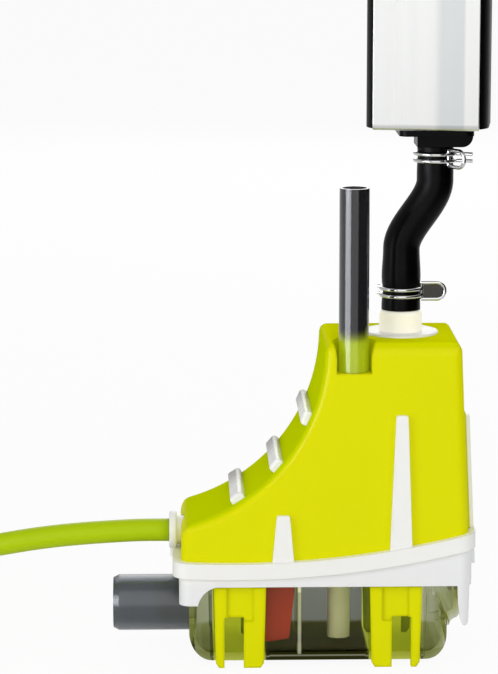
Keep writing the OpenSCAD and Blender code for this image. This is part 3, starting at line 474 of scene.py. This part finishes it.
def ribbed(name):
    """The grip bars' white plastic, with painted shade that greys the bars towards the back."""
    paint = Paint(name)
    clouds = paint.noise(60, 2)
    front = paint.blend(clouds, (0.93, 0.93, 0.91), (0.89, 0.89, 0.87))
    # painted shade: the bars grey towards the back
    painted_back_shade = paint.span(paint.along("Y"), -9 * MM, 17 * MM)
    return paint.set(
        Base_Color=paint.blend(painted_back_shade, front, (0.36, 0.34, 0.32)),
        Roughness=clouds * 0.05 + 0.25,
        Normal=paint.soft_edges(0.4 * MM, paint.bump(paint.noise(FINE_GRAIN, 2), 0.02 * MM)),
        Specular_IOR_Level=0.35,
    )


def lime(name):
    """The housing's lime: yellow on the upright faces, with painted light and shade where they turn
    up: a deeper green over the hollow instep, an arc of radius INSTEP_R about INSTEP_X and
    INSTEP_Z, and a lighter green on the top."""
    paint = Paint(name)
    z = paint.along("Z")
    out = paint.along("X") - INSTEP_X
    rise = z - INSTEP_Z
    reach = paint.root(out * out + rise * rise)
    # painted light and shade: a deeper green over the instep and a lighter green on the top, by which
    # way the faces turn
    instep = 1.0 - paint.span(reach, INSTEP_R + 0.1 * MM, INSTEP_R + 1.4 * MM)
    top = paint.span(z, TOP_Z - 1.6 * MM, TOP_Z - 0.3 * MM)
    up = paint.larger(instep, top)
    front = paint.blend(paint.noise(14, 2), (0.80, 0.785, 0.0), (0.74, 0.75, 0.0))
    scuffs = paint.specks(180, 4, 0.6, low=0.5, high=0.8)
    return paint.set(
        Base_Color=paint.blend(up, front, paint.blend(top, (0.61, 0.73, 0.0), (0.82, 0.87, 0.0))),
        Roughness=0.4,
        Normal=paint.soft_edges(1.3 * MM, paint.bump(paint.noise(FINE_GRAIN, 2), 0.02 * MM)),
        Specular_IOR_Level=0.0,
        Coat_Weight=(1.0 - up) * (0.16 - scuffs * 0.03),
        Coat_Roughness=0.16,
    )


def smoked(name):
    """Smoked plastic tube: dark, with streaks along the upright tube, paler in the thick inlet
    sleeve, and with a painted lime colour and a faint painted glow at the foot of the vent tube, in
    its pocket."""
    paint = Paint(name)
    streaks = paint.drawn((900, 900, 25), 3, 0.5)
    z = paint.along("Z")
    low = 1.0 - paint.span(z, TOP_Z - 1 * MM, TOP_Z + 4 * MM)
    inlet = 1.0 - paint.span(z, INLET_TOP_Z, INLET_TOP_Z + 4 * MM)
    tube = paint.blend(streaks, (0.075, 0.075, 0.083), (0.03, 0.03, 0.034))
    sleeve = paint.blend(streaks, (0.24, 0.26, 0.29), (0.17, 0.19, 0.21))
    # painted lime colour at the foot of the vent tube
    foot = paint.blend(low, tube, (0.72, 0.80, 0.08))
    return paint.set(
        Base_Color=paint.blend(inlet, foot, sleeve),
        # painted glow at the foot of the vent tube, outside the inlet sleeve
        Emission_Color=paint.blend(low * (1.0 - inlet), BLACK, (0.045, 0.055, 0.0)),
        Emission_Strength=1.0,
        Roughness=streaks * 0.04 + inlet * 0.12 + 0.1,
        Transmission_Weight=0.85,
        IOR=1.6,
        Coat_Weight=(1.0 - low) * 0.35,
        Coat_Roughness=0.14,
        Normal=paint.bump(paint.noise(90, 2), 0.05 * MM),
    )


def clear(name):
    """The reservoir's olive plastic: light fades with the length of its way inside, so that
    thin walls stay clear and thick edges turn olive. Painted shade greys the back wall, and turns it
    near black low down, as it does the floor between its ends. The guides behind the clips are a
    deeper olive, with a faint painted glow.
    Two pale lines are painted highlights that glow: the divider's front edge, and the floor's front
    rim between the clips."""
    paint = Paint(name)
    x, y, z = (paint.along(axis) for axis in "XYZ")
    flow = paint.noise(45, 3, 0.55)
    left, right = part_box("clip_front_left"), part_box("clip_front_right")
    guides = paint.larger(paint.band(x, left[0].x, left[1].x), paint.band(x, right[0].x, right[1].x))
    ends = paint.larger(1.0 - paint.span(x, left[0].x - 1 * MM, left[0].x),
                        paint.span(x, right[1].x, right[1].x + 1 * MM))
    front = paint.blend(flow, (0.93, 0.94, 0.84), (0.98, 0.98, 0.90))
    # painted shade: the back wall's grey tone stands in for the dark inside
    back_wall_shade = paint.blend(flow, (0.17, 0.18, 0.23), (0.21, 0.22, 0.27))
    low_down = 1.0 - paint.span(z, 2.8 * MM, 4.2 * MM)
    painted_low_shade = paint.blend(low_down, back_wall_shade, (0.03, 0.032, 0.008))
    back = paint.blend(paint.span(y, BACK_WALL_Y - 1 * MM, BACK_WALL_Y), front, painted_low_shade)
    walls = paint.blend(ends, back, (0.66, 0.68, 0.60))
    # painted shade: near black on the floor between the ends, as on the back wall low down
    floor = paint.blend(ends, (0.05, 0.05, 0.012), (0.40, 0.43, 0.20))
    bottom = 1.0 - paint.span(z, BOWL_LOW.z + 2.3 * MM, BOWL_LOW.z + 3.0 * MM)
    tone = paint.blend(bottom, walls, floor)
    # painted highlights: two pale glowing lines, on the divider's front edge and the floor's front
    # rim
    upright = paint.band(x, DIVIDER_X - DIVIDER_HALF, DIVIDER_X + DIVIDER_HALF)
    divider = upright * paint.span(z, 3.0 * MM, 3.4 * MM)
    rim = paint.band(z, 2.6 * MM, 3.0 * MM) * (1.0 - paint.larger(guides, ends)) * 0.6
    outer = 1.0 - paint.span(y, BOWL_LOW.y + 2.5 * MM, BOWL_LOW.y + 3 * MM)
    painted_highlights = paint.larger(divider, rim) * outer
    # painted glow on the guides behind the clips
    glow = paint.blend(guides, BLACK, (0.012, 0.016, 0.001))
    inside = paint.node("ShaderNodeVolumeAbsorption", inputs={
        "Color": (0.66, 0.68, 0.2), "Density": 120.0,
    })
    paint.tree.links.new(inside.socket, paint.tree.nodes["Material Output"].inputs["Volume"])
    return paint.set(
        Base_Color=paint.blend(guides, tone, (0.68, 0.72, 0.14)),
        Emission_Color=paint.blend(painted_highlights, glow, (0.30, 0.30, 0.22)),
        Emission_Strength=1.0,
        Roughness=flow * 0.02 + 0.02,
        Transmission_Weight=1.0,
        IOR=1.015,
        Coat_Weight=(1.0 - bottom) * 0.2,
        Coat_Roughness=0.08,
        Normal=paint.bump(paint.noise(60, 2), 0.04 * MM),
    )


def metal(name, colour, rough, scales=(40, 1200, 1200)):
    """Worked metal: fine lines drawn out along one axis, in tone, gloss and height."""
    paint = Paint(name)
    lines = paint.drawn(scales, 4, 0.6)
    return paint.set(
        Base_Color=paint.blend(lines, colour, tuple(0.9 * part for part in colour)),
        Metallic=1.0,
        Roughness=lines * 0.1 + rough,
        Normal=paint.bump(lines, 0.01 * MM),
    )


def nickel(name):
    """Nickel-plated sheet: upright rolling lines, broad soft bands of gloss and height from slight
    ripples in the sheet, which also lay painted reflection bands of tone on it, one painted band of
    deeper grey right of its middle, and softly rounded edges."""
    paint = Paint(name)
    lines = paint.drawn((1500, 1500, 30), 3, 0.5)
    # the ripples give real gloss and height, and lay painted reflection bands in the tone
    ripples_and_painted_bands = paint.drawn((110, 110, 3), 1, 0.4)
    low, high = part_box("yoke")
    across = (paint.along("X") - low.x) / (high.x - low.x)
    # painted reflection: one band of deeper grey right of the middle
    painted_reflection_band = paint.span(across, 0.48, 0.57) - paint.span(across, 0.73, 0.76)
    sheet = paint.blend(ripples_and_painted_bands, (0.66, 0.67, 0.66), (0.76, 0.76, 0.74))
    banded = paint.blend(painted_reflection_band * 0.8, sheet, (0.51, 0.53, 0.53))
    return paint.set(
        Base_Color=paint.blend(lines * 0.25, banded, (0.56, 0.57, 0.58)),
        Metallic=1.0,
        Roughness=ripples_and_painted_bands * 0.12 + 0.2,
        Normal=paint.soft_edges(0.4 * MM, paint.bump(ripples_and_painted_bands, 0.3 * MM)),
    )


def rubber(name, colour, rough, gloss=0.3):
    """Rubber: nearly black, with a soft sheen, faint dust and fine unevenness."""
    paint = Paint(name)
    dust = paint.specks(300, 5, 0.7, low=0.55, high=0.85)
    return paint.set(
        Base_Color=paint.blend(dust, colour, tuple(part + 0.004 for part in colour)),
        Roughness=dust * 0.1 + rough,
        Normal=paint.bump(paint.noise(700, 2), 0.01 * MM),
        Specular_IOR_Level=gloss,
    )


PAINTS = [
    lime("lime_plastic"),
    white("white_plastic"),
    ribbed("grip_plastic"),
    # painted glow on the cream parts
    painted_glow_moulded("cream_plastic", (0.98, 0.955, 0.82), (0.97, 0.93, 0.75), 0.4, glow=0.23),
    moulded("suction_plastic", (0.84, 0.83, 0.65), (0.76, 0.75, 0.57), 0.35),
    smoked("smoked_plastic"),
    clear("clear_plastic"),
    # a faint painted glow on the red float
    painted_glow_moulded("red_plastic", (0.55, 0.042, 0.014), (0.30, 0.018, 0.006), 0.35, glow=0.01),
    metal("magnet", (0.12, 0.12, 0.13), 0.5),
    moulded("board", (0.02, 0.16, 0.06), (0.02, 0.13, 0.05), 0.3),
    moulded("chip", grey(0.02), grey(0.03), 0.45),
    moulded("relay_plastic", (0.02, 0.08, 0.35), (0.02, 0.07, 0.3), 0.3),
    moulded("capacitor_plastic", (0.6, 0.18, 0.02), (0.5, 0.15, 0.02), 0.3),
    metal("screw_steel", grey(0.6), 0.3),
    rubber("seal_rubber", grey(0.02), 0.6),
    rubber("hose_rubber", grey(0.0005), 0.34, gloss=0.09),
    rubber("ring_rubber", grey(0.01), 0.5),
    metal("spring_wire", grey(0.66), 0.08),
    metal("ear_steel", (0.07, 0.066, 0.06), 0.35),
    moulded("black_plastic", grey(0.002), grey(0.004), 0.25, gloss=0.06),
    moulded("coil_plastic", grey(0.001), grey(0.003), 0.3, gloss=0.04),
    nickel("nickel_steel"),
    metal("pole_steel", grey(0.4), 0.4),
    metal("copper_wire", (0.7, 0.3, 0.14), 0.3, scales=(2600, 2600, 1)),
    metal("brass_tube", (0.8, 0.62, 0.3), 0.25),
    moulded("ceramic", (0.82, 0.8, 0.74), (0.78, 0.76, 0.7), 0.25),
    metal("terminal_brass", (0.85, 0.65, 0.3), 0.25),
    metal("piston_steel", grey(0.6), 0.2),
    metal("ball_steel", grey(0.75), 0.05),
    moulded("cap_plastic", grey(0.8), grey(0.75), 0.4),
    moulded("cable_jacket", (0.46, 0.63, 0.0), (0.42, 0.58, 0.0), 0.36, gloss=0.13),
    moulded("tie_plastic", grey(0.02), grey(0.03), 0.4),
    moulded("core_plastic", (0.25, 0.1, 0.04), (0.2, 0.08, 0.03), 0.4),
    metal("ferrule_metal", grey(0.7), 0.2),
]
FINISHES = {paint.name: paint.material for paint in PAINTS}


def finish(piece, slot):
    """Gives a piece the finish of one name, in place of all its materials."""
    if not piece.material_slots:
        piece.data.materials.append(None)
    for place in piece.material_slots:
        place.material = FINISHES[slot]


for part in frame["record"]["subparts"]:
    finish(nodes[part["node"]], part["material_slot"])
finish(nodes["grip_ribs"], "grip_plastic")
finish(supply_cable, "cable_jacket")
finish(rubber_hose, "hose_rubber")


# ---- stage ----

LAMP_AIM = Vector((0, 0, 0.1))


def shown_share(paint, mirrored, through):
    """1 for what the camera sees directly, a share for what it sees in gloss or through clear
    plastic, and 0 for light that falls on the object."""
    rays = paint.tree.nodes.new("ShaderNodeLightPath")
    direct = Value(paint, rays.outputs["Is Camera Ray"])
    glossy = Value(paint, rays.outputs["Is Glossy Ray"]) * mirrored
    passed = Value(paint, rays.outputs["Is Transmission Ray"]) * through
    return paint.larger(direct, paint.larger(glossy, passed))


def floor_material():
    """White but for a share of the real shading, which keeps the shadow."""
    paint = Paint("floor_white")
    paint.tree.nodes.remove(paint.shader)
    diffuse = paint.node("ShaderNodeBsdfDiffuse", inputs={"Color": grey(0.95)})
    glow = paint.node("ShaderNodeEmission", inputs={"Color": grey(1), "Strength": 1.0})
    share = shown_share(paint, mirrored=0.4, through=0.5) * 0.93
    mix = paint.node("ShaderNodeMixShader", inputs={0: share, 1: diffuse, 2: glow})
    paint.tree.links.new(mix.socket, paint.tree.nodes["Material Output"].inputs["Surface"])
    return paint.material


def add_floor():
    """A wide pale floor."""
    half = 6.0
    points = np.array([[-half, -half, 0], [half, -half, 0], [half, half, 0], [-half, half, 0]])
    floor = mesh_object("floor", points, np.array([[0, 1, 2, 3]]))
    floor.data.materials.append(floor_material())


def add_flag():
    """A dark screen seen only in gloss: an upright strip of a cylinder of radius 0.3 m about
    the origin, from the front right round to the back right."""
    radius, columns = 0.3, 24
    turn, height = np.meshgrid(np.radians(np.linspace(28, 115, columns)), [0.002, 0.34])
    points = np.stack([radius * np.sin(turn), -radius * np.cos(turn), height], -1).reshape(-1, 3)
    flag = mesh_object("flag", points, grid_faces(2, columns, closed=False))
    paint = Paint("flag_black").set(Base_Color=grey(0.01), Roughness=0.9, Specular_IOR_Level=0.0)
    flag.data.materials.append(paint.material)
    flag.visible_camera = False
    flag.visible_diffuse = False
    flag.visible_transmission = False
    flag.visible_shadow = False


class Sky(Paint):
    """The world's node tree, made with the same helpers as a material's."""

    def __init__(self, name):
        self.world = bpy.data.worlds.new(name)
        self.world.use_nodes = True
        self.tree = self.world.node_tree


def add_world(strength):
    """Even light from all round, and white behind the object."""
    sky = Sky("studio")
    sky.tree.nodes.remove(sky.tree.nodes["Background"])
    plain = sky.node("ShaderNodeBackground", inputs={"Color": grey(1), "Strength": strength})
    bright = sky.node("ShaderNodeBackground", inputs={"Color": grey(1), "Strength": 1.0})
    share = shown_share(sky, mirrored=0.3, through=0.6)
    mix = sky.node("ShaderNodeMixShader", inputs={0: share, 1: plain, 2: bright})
    sky.tree.links.new(mix.socket, sky.tree.nodes["World Output"].inputs["Surface"])
    bpy.context.scene.world = sky.world


def add_softbox(name, direction, distance, size, power, only_gloss=False, tint=(1, 1, 1)):
    """A rectangular lamp that faces LAMP_AIM, the object's middle, from some direction, and
    lights only its gloss where asked."""
    data = bpy.data.lights.new(name, "AREA")
    data.shape = "RECTANGLE"
    data.size, data.size_y = size
    data.energy = power
    data.color = tint
    lamp = bpy.data.objects.new(name, data)
    towards = Vector(direction).normalized()
    lamp.location = LAMP_AIM + distance * towards
    lamp.rotation_euler = (-towards).to_track_quat("-Z", "Y").to_euler()
    lamp.visible_camera = False
    if only_gloss:
        lamp.visible_diffuse = False
        lamp.visible_transmission = False
    bpy.context.scene.collection.objects.link(lamp)


add_floor()
add_flag()
add_world(0.4)
add_softbox("front_box", (0.25, -1, 0.5), 1.3, (1.7, 1.7), 8.6)
add_softbox("left_box", (-0.85, -0.62, 0.2), 1.0, (0.35, 0.8), 3)
add_softbox("strip", (-0.76, -0.64, -0.1), 0.42, (0.34, 0.3), 1.6,
            only_gloss=True, tint=(0.88, 0.9, 1))
add_softbox("back_box", (0.2, 1, 0.5), 1.3, (1.0, 1.0), 5)

bpy.context.scene.view_settings.view_transform = "Standard"
